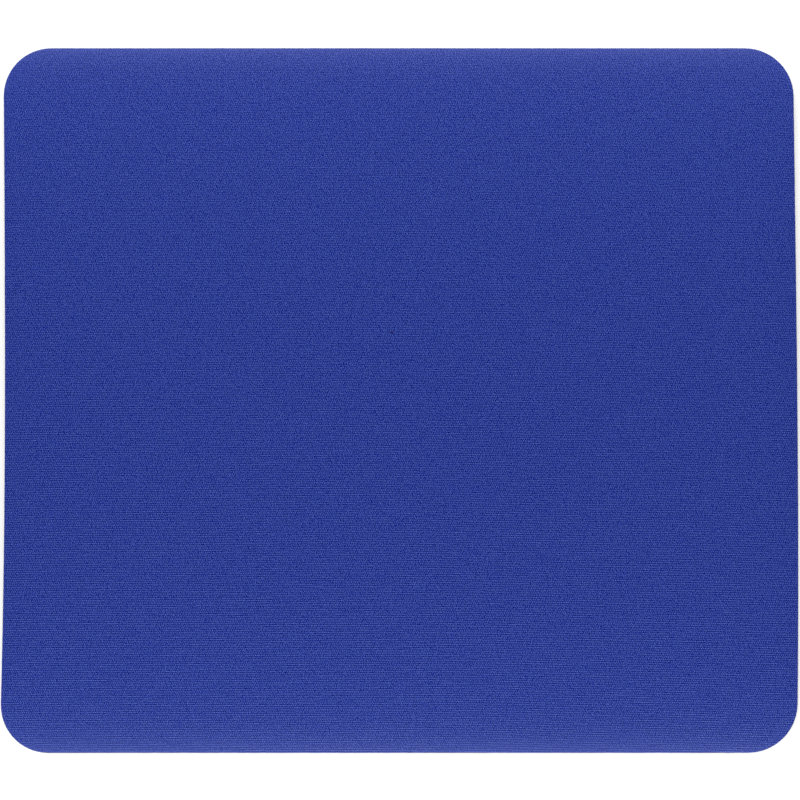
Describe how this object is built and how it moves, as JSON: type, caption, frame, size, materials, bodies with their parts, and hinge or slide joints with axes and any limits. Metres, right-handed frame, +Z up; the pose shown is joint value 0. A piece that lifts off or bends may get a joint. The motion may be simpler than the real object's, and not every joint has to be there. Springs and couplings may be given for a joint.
{
  "type": "mouse pad",
  "caption": "Flat rectangular pad with rounded corners: a knitted cloth face bonded to a sponge rubber sheet with a ribbed non-slip underside.",
  "frame": {"origin": "centre of the underside, on the surface the pad lies on", "axes": "+X along the long side to the user's right, +Y to the far side, +Z up out of the cloth face"},
  "size_m": [0.2286, 0.2032, 0.006],
  "materials": {
    "cloth": "royal-blue polyester knit, close rows, very low sheen",
    "film": "clear grey hot-melt film, seen only at its cut edge",
    "sponge": "black sponge rubber with fine open pores on the cut wall",
    "skin": "black moulded rubber skin, slightly satin on the crowns of the ribs"
  },
  "bodies": {
    "root": {"cloth_top": "cloth", "adhesive_film": "film", "sponge_base": "sponge", "grip_skin": "skin"}
  },
  "joints": []
}
